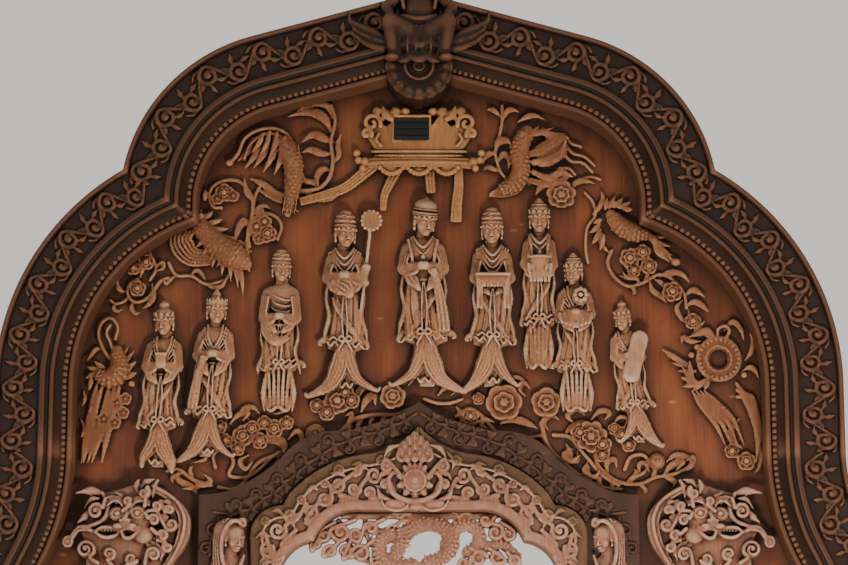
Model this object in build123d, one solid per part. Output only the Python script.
# Carved timber temple door surround: a trefoil outer frame on plinths, a plank tympanum with nine
# robed figures, birds, vines and flowers in relief, and a scroll-carved ogee door head
# over an open doorway with a pierced dragon fretwork under its arch.
# Millimetres. X runs across the door, Y from the front (-Y) to the back (+Y), Z up from the floor.
# Origin: on the floor, midway between the plinths, at the middle of their depth.
from build123d import *
import math
import os

os.makedirs("parts", exist_ok=True)

# Planks of the tympanum and sides
board_face = 60.0  # Y of their front face
board_thick = 50.0
plank_pitch = 449.0
plank_joint = 0.6  # open joint between two planks
rebate_width = 60.0  # how far they run in behind the frame
rebate_gap = 2.0
fit_gap = 0.3  # play between a piece and the seat cut for it
board_back = board_face + board_thick

# Doorway
doorway_half = 742.0
doorway_spring = 2255.0  # top of the jambs
jamb_width = 379.0
jamb_front = -165.0
jamb_chamfer = 18.0
jamb_outer = doorway_half + jamb_width

# Door head over the arch, and the ogee board round it
arch_rise = 335.0  # from the tops of the jambs to the crown of the arch
arch_flat = doorway_half - 442.0  # half of the level run at the crown
head_depth = 460.0  # from the crown of the arch to the apex of the door head
head_foot = doorway_half + 151.0  # outer half-width of the door head at the jambs
board_margin = 134.0  # from the apex of the door head to that of the ogee board
board_side = jamb_outer + 59.0
arch_crown = doorway_spring + arch_rise
head_apex = arch_crown + head_depth
board_apex = head_apex + board_margin  # heights on the tympanum are measured from here

# Outer frame, measured at its inner edge
crown_slope = math.radians(15.49)
shoulder_x = doorway_half - 72.5
shoulder_z = board_apex + 1091.2
shoulder_radius = 540.4
lobe_x = doorway_half + 169.5
lobe_z = board_apex + 87.5
lobe_radius = 949.4
waist_z = board_apex - 284.0
flare_radius = 1313.0
flare_angle = math.radians(27.4)
foot_radius = 700.0
frame_width = 420.0
lip_front = -130.0
fillet_front = -172.0
field_front = -154.0
rim_front = -184.0
lip_width = 32.0
fillet_start = 105.0
field_start = 182.0
rim_width = 28.0

# Plinths
plinth_depth = 600.0
plinth_height = 260.0
plinth_lower = 130.0  # height of the lower step
plinth_margin = 45.0  # how far a plinth stands out past the leg on each side
plinth_step = 40.0

# Crown rosette
rosette_rise = 7.5  # of its centre over the inner apex of the frame
rosette_radius = 188.0
rosette_petals = 14
rosette_scallop = 14.0

# Guardian over the crown
guardian_rise = 37.0  # of its foot over the centre of the rosette
guardian_height = 572.0
guardian_front = -300.0

# Battens across the back
batten_width = 140.0
batten_thick = 60.0
batten_levels = {"lower": (-354.0, 2180.0), "middle": (456.0, 2140.0), "upper": (1336.0, 1480.0)}

cusp_x = shoulder_x + shoulder_radius
cusp_z = lobe_z + math.sqrt(lobe_radius**2 - (cusp_x - lobe_x) ** 2)
lobe_right = lobe_x + lobe_radius
leg_inner = lobe_right + (flare_radius + foot_radius) * (1 - math.cos(flare_angle))
foot_z = waist_z - (flare_radius + foot_radius) * math.sin(flare_angle)
wide = 8000.0


def front_plane(depth):
    """The plane Y = depth seen from the front: local x is X, local y is Z."""
    return Plane(origin=(0, depth, 0), x_dir=(1, 0, 0), z_dir=(0, -1, 0))


def slab(face, back, front):
    """A flat outline drawn in X and Z, given its thickness from Y = back to Y = front."""
    return extrude(front_plane(back) * face, amount=back - front)


def outline(start, *steps):
    """A closed face. Each step is a point, for a straight side, or a (middle, end) pair, for an arc."""
    edges = []
    here = start
    for step in steps:
        if isinstance(step[0], tuple):
            edges.append(ThreePointArc(here, step[0], step[1]))
            here = step[1]
        else:
            edges.append(Line(here, step))
            here = step
    if here != start:
        edges.append(Line(here, start))
    return make_face(edges)


def block(x0, x1, y0, y1, z0, z1):
    return Pos((x0 + x1) / 2, (y0 + y1) / 2, (z0 + z1) / 2) * Box(x1 - x0, y1 - y0, z1 - z0)


def flip(part):
    return mirror(part, about=Plane.YZ)


def joined(pieces):
    """One body from pieces that run into each other."""
    first, *rest = [solid for piece in pieces for solid in piece.solids()]
    return first.fuse(*rest) if rest else first


def keep(name, part):
    solids = part.solids()
    export_step(solids[0] if len(solids) == 1 else Compound(children=solids), f"parts/{name}.step")
    if len(solids) != 1:
        print(name, "has", len(solids), "solids")


def both_sides(name, part):
    """The right-hand piece as built, and the left-hand one mirrored."""
    keep(f"{name}_right", part)
    keep(f"{name}_left", flip(part))


def on_tympanum(part):
    """A piece drawn with its heights above the apex of the ogee board, put in its place."""
    return Pos(0, 0, board_apex) * part


def polar(cx, cz, radius, angle):
    return (cx + radius * math.cos(angle), cz + radius * math.sin(angle))


# Outer frame


def frame_section():
    """Section of the frame: u runs outward from the inner edge, the second value towards the viewer."""
    rebate = rebate_width + rebate_gap
    points = [
        (0, -board_face),
        (0, -lip_front),
        (lip_width, -lip_front),
        (lip_width + 18, -lip_front - 16),
        (fillet_start, -fillet_front),
        (field_start, -fillet_front),
        (field_start, -field_front),
        (frame_width - rim_width, -field_front),
        (frame_width - rim_width, -rim_front),
        (frame_width, -rim_front),
        (frame_width, -board_back),
        (rebate, -board_back),
        (rebate, -board_face),
    ]
    return make_face(Polyline(*points, close=True))


def along(start, heading, edges):
    """The frame's section carried along edges, which start at `start` and head along `heading`."""
    tangent = Vector(heading[0], 0, heading[1])
    outward = Vector(-heading[1], 0, heading[0])
    here = Plane(origin=upright(start), x_dir=outward, z_dir=tangent)
    return sweep(here * frame_section(), path=Wire(edges))


def upright(point):
    return (point[0], 0, point[1])


def straight(a, b):
    return Edge.make_line(upright(a), upright(b))


def bend(center, radius, a0, a1):
    """An arc in the X-Z plane about center, from angle a0 to a1."""
    ends = [polar(*center, radius, a) for a in (a0, (a0 + a1) / 2, a1)]
    return Edge.make_three_point_arc(*[upright(p) for p in ends])


def meet(c0, r0, c1, r1):
    """The right-hand point where two circles cross."""
    dx, dz = c1[0] - c0[0], c1[1] - c0[1]
    gap = math.hypot(dx, dz)
    a = (r0**2 - r1**2 + gap**2) / (2 * gap)
    h = math.sqrt(r0**2 - a**2)
    mid = (c0[0] + a * dx / gap, c0[1] + a * dz / gap)
    return max((mid[0] + s * h * dz / gap, mid[1] - s * h * dx / gap) for s in (1, -1))


shoulder = (shoulder_x, shoulder_z)
lobe = (lobe_x, lobe_z)
cusp = (cusp_x, cusp_z)
outer_corner = meet(shoulder, shoulder_radius + frame_width, lobe, lobe_radius + frame_width)
mitre_run = Vector(outer_corner[0] - cusp[0], 0, outer_corner[1] - cusp[1])
mitre = Plane(origin=upright(cusp), z_dir=Vector(-mitre_run.Z, 0, mitre_run.X))

crown_heading = (math.cos(crown_slope), -math.sin(crown_slope))
shoulder_start = polar(*shoulder, shoulder_radius, math.pi / 2 - crown_slope)
crown_z = shoulder_start[1] + shoulder_start[0] * math.tan(crown_slope)
crown_overrun = frame_width * math.tan(crown_slope) + 10
crown_start = (-crown_overrun * crown_heading[0], crown_z - crown_overrun * crown_heading[1])
lobe_start = math.atan2(cusp_z - lobe_z, cusp_x - lobe_x)
rosette_z = crown_z + rosette_rise
guardian_base = rosette_z + guardian_rise


def rosette_seat(radius):
    return Pos(0, rosette_z) * Circle(radius)


def top_arch():
    edges = [
        straight(crown_start, shoulder_start),
        bend(shoulder, shoulder_radius, math.pi / 2 - crown_slope, 0),
        straight((cusp_x, shoulder_z), cusp),
    ]
    whole = along(crown_start, crown_heading, edges)
    whole = split(whole, bisect_by=Plane.YZ, keep=Keep.TOP)
    whole = split(whole, bisect_by=mitre, keep=Keep.TOP)
    return whole - slab(rosette_seat(rosette_radius), board_face, rim_front - 60)


def side_frame():
    """The lower lobe, the flare under it and the leg, in one run."""
    flare_x = lobe_right + flare_radius
    foot_x = leg_inner - foot_radius
    edges = [
        bend(lobe, lobe_radius, lobe_start, 0),
        straight((lobe_right, lobe_z), (lobe_right, waist_z)),
        bend((flare_x, waist_z), flare_radius, math.pi, math.pi + flare_angle),
        bend((foot_x, foot_z), foot_radius, flare_angle, 0),
        straight((leg_inner, foot_z), (leg_inner, plinth_height)),
    ]
    whole = along(cusp, (math.sin(lobe_start), -math.cos(lobe_start)), edges)
    return split(whole, bisect_by=mitre, keep=Keep.BOTTOM)


def between(part, low, high):
    return part & block(-wide, wide, -wide, wide, low, high)


def plinth():
    """A two-step block: the upper step stands out past the leg, the lower past the upper."""
    x0, x1 = leg_inner - plinth_margin, leg_inner + frame_width + plinth_margin
    half = plinth_depth / 2
    upper = block(x0, x1, plinth_step - half, half - plinth_step, plinth_lower, plinth_height)
    lower = block(x0 - plinth_step, x1 + plinth_step, -half, half, 0, plinth_lower)
    return joined([upper, lower])


def plinth_notch():
    """What the plinths cut from the feet of the planks, seen from the front."""
    inner = leg_inner - plinth_margin - fit_gap
    right = outline(
        (inner - plinth_step, 0),
        (inner - plinth_step, plinth_lower),
        (inner, plinth_lower),
        (inner, plinth_height),
        (wide, plinth_height),
        (wide, 0),
    )
    return right + mirror(right, about=Plane.YZ)


both_sides("frame_top_arch", top_arch())
side = side_frame()
both_sides("frame_side_arch", between(side, waist_z, wide))
both_sides("frame_leg", between(side, plinth_height, waist_z))
both_sides("plinth", plinth())


# Crown rosette: a half-open lotus seen from below, its petals scalloped along the rim


def rosette():
    radius = rosette_radius - fit_gap
    rim = []
    for k in range(rosette_petals):
        for turn, reach in ((0, radius - rosette_scallop), (0.28, radius), (0.72, radius)):
            rim.append(polar(0, rosette_z, reach, 2 * math.pi * (k + turn) / rosette_petals))
    body = slab(outline(*rim), board_face, rim_front + 14)
    dish = slab(Pos(0, rosette_z) * RegularPolygon(radius * 0.68, rosette_petals), rim_front + 14, rim_front)
    boss = slab(Pos(0, rosette_z - radius * 0.38) * RegularPolygon(radius * 0.24, 10), rim_front, rim_front - 22)
    return joined([body, dish, boss])


keep("crown_rosette", rosette())


# Door head, its ogee board behind and the jambs

head_cusp = (head_foot - 168.0, head_apex - 428.0)
arch_cusp = (doorway_half - 180.0, arch_crown - 159.0)
head_front = -150.0
head_rim = 15.0  # how far its borders stand out from its carved field
head_border = 52.0
board_front = -60.0  # front of the ogee board


def grown(point, grow):
    """A point of a right-hand outline moved outward; points on the centre line only rise."""
    x, z = point
    return (x + grow if x > 0 else x, z + grow if z > doorway_spring else z)


def arch_opening(grow=0.0):
    """Right half of the opening under the door head, down to the tops of the jambs."""
    return outline(
        grown((0, arch_crown), grow),
        grown((arch_flat, arch_crown), grow),
        (grown((arch_flat + 180, arch_crown - 47), grow), grown(arch_cusp, grow)),
        (grown((arch_cusp[0] + 108, arch_cusp[1] - 46), grow), grown((doorway_half, doorway_spring), grow)),
        (0, doorway_spring),
    )


def head_outline(grow=0.0):
    """Right half of the door head, filled down to the tops of the jambs."""
    return outline(
        grown((0, head_apex), grow),
        (grown((0.118 * head_foot, head_apex - 92), grow), grown((0.303 * head_foot, head_apex - 152), grow)),
        (grown((0.571 * head_foot, head_apex - 224), grow), grown((0.776 * head_foot, head_apex - 368), grow)),
        grown(head_cusp, grow),
        (grown((head_foot - 37, head_cusp[1] - 56), grow), grown((head_foot + 7, head_cusp[1] - 222), grow)),
        grown((head_foot, doorway_spring), grow),
        (0, doorway_spring),
    )


def band(p, q, width, bow=0.0, end_width=None):
    """A strip from p to q in short straight runs, bowed to the left of the way from p to q."""
    end_width = width if end_width is None else end_width
    length = math.hypot(q[0] - p[0], q[1] - p[1])
    nx, nz = (p[1] - q[1]) / length, (q[0] - p[0]) / length
    runs = 4 if bow else 1
    left, right = [], []
    for k in range(runs + 1):
        t = k / runs
        half = (width + (end_width - width) * t) / 2
        for side, s in ((left, 1), (right, -1)):
            off = bow * 4 * t * (1 - t) + s * half
            side.append((p[0] + (q[0] - p[0]) * t + nx * off, p[1] + (q[1] - p[1]) * t + nz * off))
    return outline(*left, *reversed(right))


def leaf(p, q, width, bow=0.0):
    """A pointed leaf with knife-cut sides from p to q, bent to the left of the way from p to q by bow."""
    length = math.hypot(q[0] - p[0], q[1] - p[1])
    nx, nz = (p[1] - q[1]) / length, (q[0] - p[0]) / length
    sides = []
    for s in (1, -1):
        for t in (0.3, 0.68):
            off = bow * 4 * t * (1 - t) + s * width / 2
            sides.append((p[0] + (q[0] - p[0]) * t + nx * off, p[1] + (q[1] - p[1]) * t + nz * off))
    return outline(p, sides[0], sides[1], q, sides[3], sides[2])


# Each scroll of the door head, with heights above the crown of the arch: the start of its stem, its eye,
# and the stem's bow
head_scrolls = (
    ((200, 86), (262, 210), -46),
    ((330, 222), (398, 152), 52),
    ((470, 172), (500, 82), -44),
    ((560, 126), (610, 0), 50),
    ((650, -90), (760, -70), 40),
    ((760, -280), (810, -190), -40),
)
scroll_width = 34.0
scroll_eye = 27.0
scroll_rise = 14.0


def door_head():
    body = slab(head_outline() - arch_opening(), board_face, head_front - head_rim)
    field = offset(head_outline() - arch_opening(), amount=-head_border, kind=Kind.INTERSECTION)
    body = body - slab(field, head_front, head_front - head_rim)
    crest = Pos(0, arch_crown)
    marks = []
    for stem, eye, bow in head_scrolls:
        for mark in (leaf(stem, eye, scroll_width, bow), Pos(*eye) * RegularPolygon(scroll_eye, 7)):
            marks.append(slab(crest * mark, head_front, head_front - scroll_rise))
    return joined([body, *marks])


def ogee_outline(grow=0.0):
    """Right half of the ogee board, filled down to the tops of the jambs."""
    return outline(
        grown((0, board_apex), grow),
        (grown((0.127 * board_side, board_apex - 84), grow), grown((0.356 * board_side, board_apex - 158), grow)),
        (grown((0.508 * board_side, board_apex - 190), grow), grown((0.633 * board_side, board_apex - 311), grow)),
        (grown((0.746 * board_side, board_apex - 410), grow), grown((0.855 * board_side, board_apex - 475), grow)),
        (grown((0.924 * board_side, board_apex - 496), grow), grown((board_side, board_apex - 502), grow)),
        grown((board_side, doorway_spring), grow),
        (0, doorway_spring),
    )


def ogee_board():
    return slab(ogee_outline() - head_outline(fit_gap), board_face, board_front)


def jamb():
    post = block(doorway_half, jamb_outer, jamb_front, board_back, 0, doorway_spring)
    return chamfer(post.edges().filter_by(Axis.Z).group_by(Axis.Y)[0], jamb_chamfer)


both_sides("door_head", door_head())
both_sides("ogee_board", ogee_board())
both_sides("door_jamb", jamb())


# Lotus medallion on the joint of the door head's halves

medallion_z = arch_crown + 136.0
medallion_reach = 188.0


def medallion():
    back = head_front - head_rim
    ring = slab(Pos(0, medallion_z - 36) * RegularPolygon(66, 14), back, back - 30)
    boss = slab(Pos(0, medallion_z - 36) * RegularPolygon(34, 10), back - 30, back - 42)
    pieces = [ring, boss, slab(leaf((0, medallion_z), (0, medallion_z + 232), 104), back, back - 34)]
    for s in (1, -1):
        for tip, width, bow in (((96, 150), 74, 18), ((150, 40), 76, 22), ((178, -52), 70, 26), ((120, -118), 60, 14)):
            root = (s * 20, medallion_z - 30)
            pieces.append(slab(leaf(root, (s * tip[0], medallion_z + tip[1]), width, s * bow), back, back - 24))
    return joined(pieces)


keep("door_head_medallion", medallion())


# Pierced dragon fretwork hanging in the arch

fret_front = -20.0
fret_back = 30.0
fret_rail = 26.0


def coil(cx, cz, radius, width):
    return Pos(cx, cz) * (RegularPolygon(radius, 18) - RegularPolygon(radius - width, 12))


def dragon_fretwork():
    """Coils of the dragon's body and cloud scrolls, hung from a rail fitted under the arch."""
    inside = arch_opening(-fit_gap)
    inside += mirror(inside, about=Plane.YZ)
    rail = Pos(0, arch_crown - fret_rail / 2) * Rectangle(2 * arch_flat, fret_rail)
    coils = rail + coil(60, arch_crown - 142, 120, 52)
    coils += coil(-126, arch_crown - 84, 96, 46)
    coils += coil(248, arch_crown - 86, 94, 44)
    coils += band((-200, arch_crown - 170), (190, arch_crown - 190), 46, -46, 34)
    for s, x, z, start in ((-1, 300, 108, 190), (1, 392, 100, 280), (-1, 442, 130, 280)):
        coils += Pos(s * x, arch_crown - z) * RegularPolygon(46, 9)
        coils += band((s * start, arch_crown - 20), (s * x, arch_crown - z), 26, s * 40, 44)
    return slab(coils & inside, fret_back, fret_front)


keep("dragon_fretwork", dragon_fretwork())


# Planks, as wide as the frame's rebate lets them run


def board_outline():
    """The whole tympanum and both sides, as far as the bottom of the rebate."""
    grow = rebate_width
    top = (0, crown_z + grow / math.cos(crown_slope))
    a = polar(*shoulder, shoulder_radius + grow, math.pi / 2 - crown_slope)
    am = polar(*shoulder, shoulder_radius + grow, math.pi / 4 - crown_slope / 2)
    b = (cusp_x + grow, shoulder_z)
    start = math.asin((cusp_x + grow - lobe_x) / (lobe_radius + grow))
    c = (cusp_x + grow, lobe_z + (lobe_radius + grow) * math.cos(start))
    cm = (lobe_x + (lobe_radius + grow) * math.sin((start + math.pi / 2) / 2),
          lobe_z + (lobe_radius + grow) * math.cos((start + math.pi / 2) / 2))
    d = (lobe_right + grow, lobe_z)
    e = (lobe_right + grow, waist_z)
    flare = (lobe_right + flare_radius, waist_z)
    em = polar(*flare, flare_radius - grow, math.pi + flare_angle / 2)
    f = polar(*flare, flare_radius - grow, math.pi + flare_angle)
    foot = (leg_inner - foot_radius, foot_z)
    fm = polar(*foot, foot_radius + grow, flare_angle / 2)
    g = polar(*foot, foot_radius + grow, 0)
    right = outline(top, a, (am, b), c, (cm, d), e, (em, f), (fm, g), (leg_inner + grow, 0), (0, 0))
    return right + mirror(right, about=Plane.YZ)


head_lap = 110.0  # how far the middle planks stop above the arch
side_lap = 130.0  # and the next ones above its cusp
plank_reach = leg_inner + rebate_width


def planks():
    whole = board_outline() - plinth_notch()
    count = math.ceil(plank_reach / plank_pitch - 0.5)
    for k in range(-count, count + 1):
        left = max(k * plank_pitch - plank_pitch / 2, -plank_reach - 1)
        right = min(k * plank_pitch + plank_pitch / 2, plank_reach + 1)
        nearest = max(abs(k) - 0.5, 0) * plank_pitch
        foot = 0.0
        if nearest < arch_cusp[0]:
            foot = arch_crown + head_lap
        elif nearest < doorway_half:
            foot = arch_cusp[1] + side_lap
        inner_left, inner_right = left + plank_joint / 2, right - plank_joint / 2
        if foot == 0.0:
            inner_left = max(inner_left, jamb_outer) if k > 0 else inner_left
            inner_right = min(inner_right, -jamb_outer) if k < 0 else inner_right
        strip = outline((inner_left, foot), (inner_right, foot), (inner_right, wide), (inner_left, wide))
        yield k, slab(whole & strip, board_back, board_face)


for k, plank in planks():
    place = "middle" if k == 0 else f"{'left' if k < 0 else 'right'}_{abs(k)}"
    keep(f"plank_{place}", plank)

for level, (height, reach) in batten_levels.items():
    batten = block(-reach, reach, board_back, board_back + batten_thick, height, height + batten_width)
    keep(f"batten_{level}", on_tympanum(batten))


# Carved figures, birds and plants on the planks. Each is flat at the back, against the planks

relief_sides = 6  # facets round a body
relief_sink = 26.0  # how far a figure's axis lies in front of the planks


def faceted(rings):
    """A solid through closed rings of points, joined by flat facets."""
    faces = [Face(Wire.make_polygon(ring)) for ring in (rings[0], rings[-1])]
    for low, high in zip(rings, rings[1:]):
        for k in range(len(low)):
            n = (k + 1) % len(low)
            faces.append(Face(Wire.make_polygon([low[k], low[n], high[n], high[k]])))
    return Solid(Shell(faces))


def column(x, y, depth, sections):
    """An upright body through level sections, each (z, half-width, shift in X).
    Every section is depth times as deep as it is wide, so that all the facets are flat."""
    turns = [2 * math.pi * (k + 0.5) / relief_sides for k in range(relief_sides)]
    return faceted([
        [Vector(x + shift + reach * math.cos(a), y + depth * reach * math.sin(a), z) for a in turns]
        for z, reach, shift in sections
    ])


def limb(a, b, ra, rb, sides=5):
    """A tapering arm or sleeve from a to b."""
    ends = []
    for point, radius in ((a, ra), (b, rb)):
        here = Plane(origin=point, z_dir=Vector(*b) - Vector(*a))
        turns = [2 * math.pi * k / sides for k in range(sides)]
        ends.append([here.from_local_coords(Vector(radius * math.cos(t), radius * math.sin(t), 0)) for t in turns])
    return faceted(ends)


def in_front(part, depth=board_face):
    return part & block(-wide, wide, -wide, depth, -wide, wide)


def robed_figure(x, foot, height, lean=0.0, tails=1.0, girth=1.0, hands=0.56, held=None):
    """A standing figure in a long robe under a tall headdress, its hands before its waist.

    lean moves the head sideways from the feet, tails scales the swallow-tailed hem, hands is the
    height of the hands, and held is the outline of a thing in the hands, about (0, 0)."""
    y = board_face - relief_sink
    h = height

    def across(t):
        return lean * t

    body = [
        (0.02, 0.060), (0.14, 0.072), (0.30, 0.070), (0.42, 0.080), (0.56, 0.062), (0.70, 0.086), (0.755, 0.080),
        (0.785, 0.030),
    ]
    robe = column(x, y, 0.82, [(foot + t * h, r * h * girth, across(t)) for t, r in body])
    skull = [(0.78, 0.026), (0.81, 0.043), (0.87, 0.053), (0.92, 0.060), (0.955, 0.054), (0.965, 0.034), (1.0, 0.022)]
    head = column(x, y - 16, 1.1, [(foot + t * h, r * h, across(t)) for t, r in skull])
    pieces = [robe, head]
    grip = (x + across(hands), y - 88, foot + hands * h)
    for s in (1, -1):
        shoulder_at = (x + across(0.74) + s * 0.074 * h * girth, y - 18, foot + 0.735 * h)
        elbow = (x + across(0.6) + s * 0.092 * h * girth, y - 30, foot + (hands + 0.005) * h)
        wrist = (grip[0] + s * 0.012 * h, grip[1], grip[2])
        pieces.append(limb(shoulder_at, elbow, 0.032 * h, 0.036 * h))
        pieces.append(limb(elbow, wrist, 0.038 * h, 0.028 * h))
        if tails:
            root = (x + s * 0.045 * h, foot + 0.21 * h)
            tip = (x + s * 0.150 * h * tails, foot)
            pieces.append(slab(leaf(root, tip, 0.085 * h, -s * 0.03 * h), board_face, board_face - 46))
    whole = in_front(joined(pieces))
    if held:
        whole = joined([whole, slab(Pos(grip[0], grip[2]) * held, grip[1] + 40, grip[1] - 14)])
    return whole


tray = outline((-92, -16), (92, -16), (92, 16), (-92, 16)) + outline((-78, -150), (-46, -150), (-46, 0), (-78, 0))
tray += outline((78, -150), (46, -150), (46, 0), (78, 0))
bowl = outline((-52, 12), (52, 12), ((0, -50), (-52, 12)))
figures = {
    "attendant_far_left": dict(x=-1428, foot=-378, height=950, lean=52, tails=0.55, held=Rectangle(56, 70)),
    "attendant_left": dict(x=-1146, foot=-322, height=960, lean=46, tails=0.9),
    "figure_with_sling": dict(x=-764, foot=-52, height=915, lean=8, tails=0.5, girth=1.12, hands=0.5),
    "figure_with_staff": dict(x=-396, foot=32, height=1050, lean=-16, tails=1.15, girth=1.05),
    "central_figure": dict(x=32, foot=58, height=1100, lean=-14, tails=1.15, girth=1.1, hands=0.6),
    "figure_with_cloth": dict(x=402, foot=60, height=1038, lean=0, tails=0.95, held=tray),
    "figure_with_bowl": dict(x=650, foot=182, height=965, lean=14, tails=0.0, girth=0.76, held=bowl),
    "figure_with_vase": dict(x=858, foot=-52, height=893, lean=-10, tails=0.0, girth=1.12, held=RegularPolygon(62, 10)),
    "attendant_far_right": dict(x=1196, foot=-238, height=810, lean=-96, tails=0.9),
}
staff_width = 20.0
staff_disc = 54.0
tablet = (96.0, 300.0)


def standing_figures():
    for name, sizes in figures.items():
        whole = robed_figure(**sizes)
        x, foot, height = sizes["x"], sizes["foot"], sizes["height"]
        reach = board_face - relief_sink - 66
        if name == "figure_with_staff":
            hand = (x + 62, foot + 0.58 * height)
            top = (x + 134, foot + 0.93 * height)
            staff = band((x + 24, foot + 0.1 * height), top, staff_width) + Pos(*top) * RegularPolygon(staff_disc, 12)
            whole = joined([whole, slab(staff, board_face, reach)])
        if name == "attendant_far_right":
            plate = Pos(x - 22, foot + 0.6 * height) * Rot(0, 0, -14) * RectangleRounded(*tablet, tablet[0] * 0.49)
            whole = joined([whole, slab(plate, reach, reach - 40)])
        yield name, whole


for name, whole in standing_figures():
    keep(name, on_tympanum(whole))


large_flower = 115.0
relief_leaf = 44.0
relief_flower = 72.0
relief_body = 84.0


def flower(cx, cz, radius):
    """A round centre with pointed petals about it, six on a large flower and five on a small one."""
    petals = 6 if radius > large_flower else 5
    whole = Pos(cx, cz) * RegularPolygon(radius * 0.42, 8)
    for k in range(petals):
        angle = 2 * math.pi * (k + 0.25) / petals
        whole += leaf((cx, cz), polar(cx, cz, radius, angle), radius * 0.92)
    return whole


def raised(face, rise):
    return slab(face, board_face, board_face - rise)


def sprig(stems=(), leaves=(), flowers=()):
    """Stems, leaves and flowers that run into each other."""
    pieces = [raised(band(p, q, w, bow, w * 0.7), relief_leaf * 0.8) for p, q, w, bow in stems]
    pieces += [raised(leaf(p, q, w, bow), relief_leaf) for p, q, w, bow in leaves]
    pieces += [raised(flower(*place), relief_flower) for place in flowers]
    return joined(pieces)


def bird(body, wing_root, feathers, tail, head):
    """A bird in relief: body and head, a fan of wing feathers, and long tail feathers."""
    (p, q, width, bow) = body
    pieces = [raised(leaf(p, q, width, bow), relief_body)]
    pieces += [raised(leaf(wing_root, tip, 58, 10), relief_leaf) for tip in feathers]
    pieces += [raised(leaf(a, b, w, c), relief_leaf) for a, b, w, c in tail]
    pieces.append(raised(leaf(*head), relief_body))
    return joined(pieces)


birds = {
    "phoenix_upper_left": dict(
        body=((-846, 1376), (-690, 1078), 130, -20),
        wing_root=(-800, 1316),
        feathers=((-1030, 1376), (-1000, 1476), (-900, 1532), (-800, 1516), (-1010, 1286)),
        tail=(((-720, 1146), (-620, 1376), 70, -40), ((-640, 1286), (-560, 1576), 74, 40)),
        head=((-840, 1336), (-700, 1456), 66, 20),
    ),
    "phoenix_lower_left": dict(
        body=((-1260, 896), (-1010, 716), 130, 30),
        wing_root=(-1180, 836),
        feathers=((-1300, 896), (-1222, 946), (-1140, 1006), (-1010, 876)),
        tail=(((-1100, 776), (-980, 616), 90, 30), ((-1240, 836), (-1400, 746), 80, 30)),
        head=((-1230, 876), (-1370, 876), 60, 20),
    ),
    "phoenix_upper_right": dict(
        body=((560, 1336), (860, 1376), 120, 30),
        wing_root=(700, 1376),
        feathers=((600, 1546), (700, 1566), (800, 1546), (900, 1466)),
        tail=(((620, 1356), (440, 1146), 110, 30), ((600, 1356), (520, 1096), 80, 20)),
        head=((840, 1376), (1000, 1316), 66, 20),
    ),
    "bird_far_left": dict(
        body=((-1640, 376), (-1720, 146), 110, 20),
        wing_root=(-1680, 236),
        feathers=((-1560, 116), (-1550, 206), (-1790, 296)),
        tail=(((-1710, 166), (-1760, -224), 90, -30), ((-1700, 156), (-1640, -194), 90, 30)),
        head=((-1650, 346), (-1540, 406), 60, 10),
    ),
}

for name, sizes in birds.items():
    keep(name, on_tympanum(bird(**sizes)))

coil_center = (1640.0, 236.0)
coil_radius = 150.0


def coiled_dragon():
    cx, cz = coil_center
    ring = coil(cx, cz, coil_radius, 62)
    pieces = [raised(ring, relief_body)]
    pieces.append(raised(leaf((cx + 60, cz - 110), (cx + 130, cz - 460), 96, 30), relief_leaf))
    pieces.append(raised(leaf((cx - 90, cz - 100), (cx - 220, cz - 250), 96, -20), relief_leaf))
    pieces.append(raised(leaf((cx - 20, cz + 110), (cx + 30, cz + 250), 90, 10), relief_leaf))
    return joined(pieces)


keep("coiled_dragon", on_tympanum(coiled_dragon()))

sprigs = {
    "vine_left": dict(
        stems=(((-990, 1056), (-880, 806), 26, -30), ((-1180, 576), (-1450, 646), 26, 30)),
        leaves=(((-880, 826), (-870, 676), 60, 10), ((-1390, 656), (-1500, 516), 60, 20)),
        flowers=((-1062, 1146, 112), (-858, 956, 92), (-1500, 646, 96)),
    ),
    "vine_right": dict(
        stems=(((860, 1146), (1060, 1056), 26, -30), ((1080, 1046), (1200, 826), 30, 30),
               ((1240, 776), (1500, 596), 30, 30)),
        leaves=(((1060, 1056), (1180, 1156), 76, 10), ((1200, 876), (1080, 756), 70, 10),
                ((1440, 656), (1580, 496), 90, 10), ((1330, 716), (1380, 546), 80, 10),
                ((1290, 756), (1460, 806), 76, 10)),
        flowers=((806, 1138, 104), (1240, 786, 108)),
    ),
    "garland_left": dict(
        stems=(((-148, -24), (-560, -154), 36, -6), ((-560, -154), (-980, -344), 40, 16),
               ((-960, -324), (-1120, -404), 36, -10)),
        leaves=(((-300, -64), (-280, 26), 60, 10), ((-640, -174), (-640, -64), 80, 10),
                ((-1060, -384), (-1230, -426), 70, 10)),
        flowers=((-452, -88, 110), (-150, -22, 78), (-770, -188, 112), (-950, -204, 92)),
    ),
    "garland_right": dict(
        stems=(((250, -24), (640, -134), 40, 10), ((640, -124), (1180, -394), 40, -36),
               ((1180, -384), (1440, -384), 36, -30)),
        leaves=(((330, -44), (250, 6), 70, 10), ((840, -224), (760, -274), 70, 10),
                ((1260, -394), (1480, -334), 90, 20)),
        flowers=((452, -54, 128), (678, -64, 112), (966, -192, 118)),
    ),
}

foot_line = ogee_outline(fit_gap)
foot_line += mirror(foot_line, about=Plane.YZ)
for name, sizes in sprigs.items():
    keep(name, on_tympanum(sprig(**sizes)) - slab(foot_line, board_face, board_front))


# Lotus canopy under the crown, with its hem, ribbons and the slotted panel let into it

canopy_front = -6.0
canopy_height = 284.0
canopy_top = rosette_z - 197.0
canopy_base = canopy_top - canopy_height
canopy_half = 318.0
hem_height = 44.0
hem_half = 292.0
hem_front = -30.0
panel_size = (196.0, 128.0)
panel_center = (-42.0, canopy_top - 114.0)
panel_depth = 30.0


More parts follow.
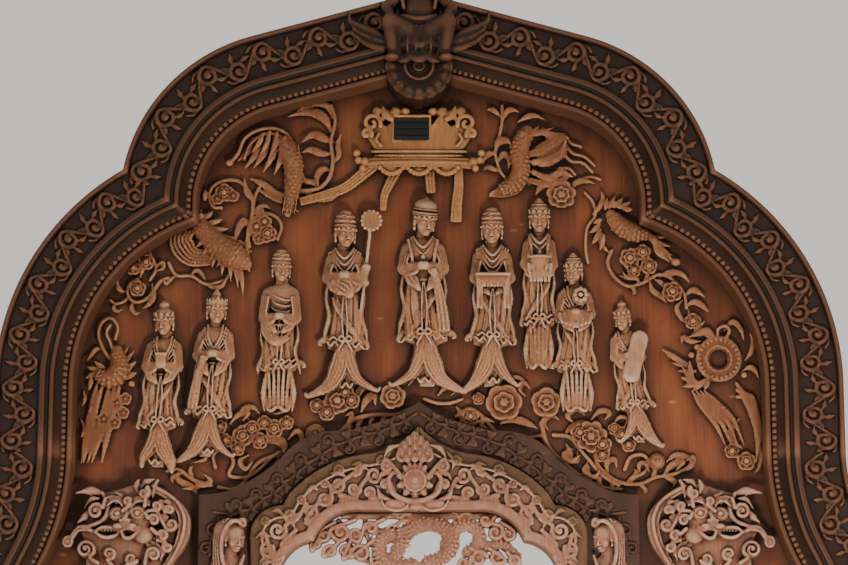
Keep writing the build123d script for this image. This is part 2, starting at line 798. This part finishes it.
def canopy():
    """A bowl-shaped cartouche with upturned petals, recessed for the slotted panel."""
    right = outline(
        (0, canopy_top - 60),
        (150, canopy_top - 60),
        ((230, canopy_top - 40), (240, canopy_top)),
        ((canopy_half + 6, canopy_top - 90), (canopy_half - 20, canopy_top - 170)),
        ((250, canopy_base + 40), (190, canopy_base)),
        (0, canopy_base),
    )
    face = right + mirror(right, about=Plane.YZ)
    hole = Pos(*panel_center) * Rectangle(*panel_size)
    return slab(face, board_face, canopy_front) - slab(hole, canopy_front + panel_depth, canopy_front)


def slotted_panel():
    width, height = panel_size[0] - 2 * fit_gap, panel_size[1] - 2 * fit_gap
    plate = slab(Pos(*panel_center) * Rectangle(width, height), canopy_front + panel_depth, canopy_front + 12)
    for k in (-1, 0, 1):
        slot = Pos(panel_center[0], panel_center[1] + k * height * 0.28) * Rectangle(width - 24, 9)
        plate = plate - slab(slot, canopy_front + 18, canopy_front)
    return plate


def canopy_hem():
    """The moulded strip under the canopy, its scallops and the ribbons that hang from it."""
    top = canopy_base
    low = top - hem_height
    strip = slab(outline((-hem_half, low), (hem_half, low), (hem_half, top), (-hem_half, top)), board_face, hem_front)
    pieces = [strip]
    for k in range(-2, 3):
        drop = outline((k * 84 - 38, low + 4), ((k * 84, low - 36), (k * 84 + 38, low + 4)))
        pieces.append(raised(drop, 60))
    for p, q, width, bow, end in (
        ((-250, low + 10), (-640, low - 174), 60, -46, 30),
        ((-96, low + 10), (-214, low - 264), 56, 14, 34),
        ((42, low + 10), (64, low - 126), 60, 8, 54),
        ((206, low + 10), (232, low - 324), 58, 8, 62),
    ):
        pieces.append(raised(band(p, q, width, bow, end), 36))
    return joined(pieces)


keep("lotus_canopy", canopy())
keep("slotted_panel", slotted_panel())
keep("canopy_hem", canopy_hem())


# Lion brackets beside the door, on plain pilasters, and an attendant's bust by each door head foot

bracket_foot = doorway_spring
bracket_front = -128.0
bracket_inner = board_side + 56.0
bracket_height = 502.0
pilaster_half = 226.0
pilaster_x = bracket_inner + 324.0
pilaster_front = -110.0


def lion_bracket():
    """A scrolled bracket with a lion's face: brow, eyes, muzzle and curled mane."""
    face = outline(
        (114, 0), (44, 70), (10, 160), (0, 267), (22, 355), (99, 425), (156, 450), (194, 487),
        (290, bracket_height + 4), (430, bracket_height), (564, 457), (610, 385), (604, 305), (654, 235), (672, 165),
        (614, 175), (564, 231), (520, 150), (534, 0),
    )
    cheek, eye, curl = bracket_front + 40, RegularPolygon(56, 8), RegularPolygon(42, 8)
    marks = [(band((84, 24), (166, 435), 56, 118, 56), 0)]
    marks += [(Pos(x, 345) * eye, 22) for x in (264, 424)]
    marks += [(leaf((x, 379), tip, 64, bow), 10) for x, tip, bow in ((370, (204, 435), -24), (340, (506, 429), 24))]
    marks += [(Pos(*place) * curl, 0) for place in ((204, 225), (498, 281), (550, 385), (216, 93), (452, 83))]
    pieces = [slab(face, board_face, cheek)]
    pieces += [slab(mark, cheek, bracket_front - rise) for mark, rise in marks]
    pieces.append(column(344, bracket_front + 30, 0.62, [(157, 96, 0), (241, 128, 0), (311, 70, 0)]))
    return in_front(Pos(bracket_inner, 0, bracket_foot) * joined(pieces))


def pilaster():
    post = block(pilaster_x - pilaster_half, pilaster_x + pilaster_half, pilaster_front, board_face, 0, bracket_foot)
    return chamfer(post.edges().filter_by(Axis.Z).group_by(Axis.Y)[0], jamb_chamfer)


bust_x = head_foot + 123.0
bust_height = 300.0
bust_back = board_front


def bust():
    """A hooded attendant, head and shoulders, leaning in towards the doorway."""
    h = bust_height
    y = bust_back - 40
    shoulders = column(bust_x, y, 0.76, [(doorway_spring + t * h, r, s) for t, r, s in (
        (0, 94, 0), (0.28, 98, 0), (0.38, 44, -6))])
    head = column(bust_x, y - 12, 1.08, [(doorway_spring + t * h, r, s) for t, r, s in (
        (0.32, 36, -8), (0.42, 52, -12), (0.60, 64, -12), (0.80, 70, -8), (0.93, 52, 0), (1.0, 20, 8))])
    return in_front(joined([shoulders, head]), bust_back)


both_sides("lion_bracket", lion_bracket())
both_sides("side_pilaster", pilaster())
both_sides("attendant_bust", bust())


# Guardian crouching over the crown, in front of the frame


def guardian():
    h = guardian_height
    back = rim_front
    depth = back - guardian_front
    y = back - depth * 0.30
    torso = column(0, y, 0.46, [(guardian_base + t * h, r, 0) for t, r in (
        (0.10, 150), (0.30, 158), (0.52, 104), (0.70, 128), (0.78, 60))])
    head = column(0, y - 4, 0.9, [(guardian_base + t * h, r, 0) for t, r in (
        (0.74, 40), (0.80, 62), (0.90, 68), (0.96, 52), (1.0, 26))])
    pieces = [torso, head]
    for s in (1, -1):
        knee = (s * 168, guardian_front + 44, guardian_base + 0.34 * h)
        pieces.append(limb((s * 70, y, guardian_base + 0.30 * h), knee, 62, 54))
        pieces.append(limb(knee, (s * 120, y - 10, guardian_base + 0.02 * h), 50, 38))
        pieces.append(limb((s * 112, y, guardian_base + 0.68 * h), (s * 176, y - 16, guardian_base + 0.46 * h), 40, 34))
        pieces.append(slab(leaf((s * 120, guardian_base + 0.12 * h), (s * 400, guardian_base + 0.40 * h), 92, s * 40),
                           back, back - 46))
    waist = guardian_base + 0.16 * h
    hem = outline((-120, waist), (120, waist), ((0, guardian_base - 30), (-120, waist)))
    pieces.append(slab(hem, back, back - 70))
    return in_front(joined(pieces), back) & block(-wide, wide, guardian_front, wide, 0, wide)


keep("crown_guardian", guardian())
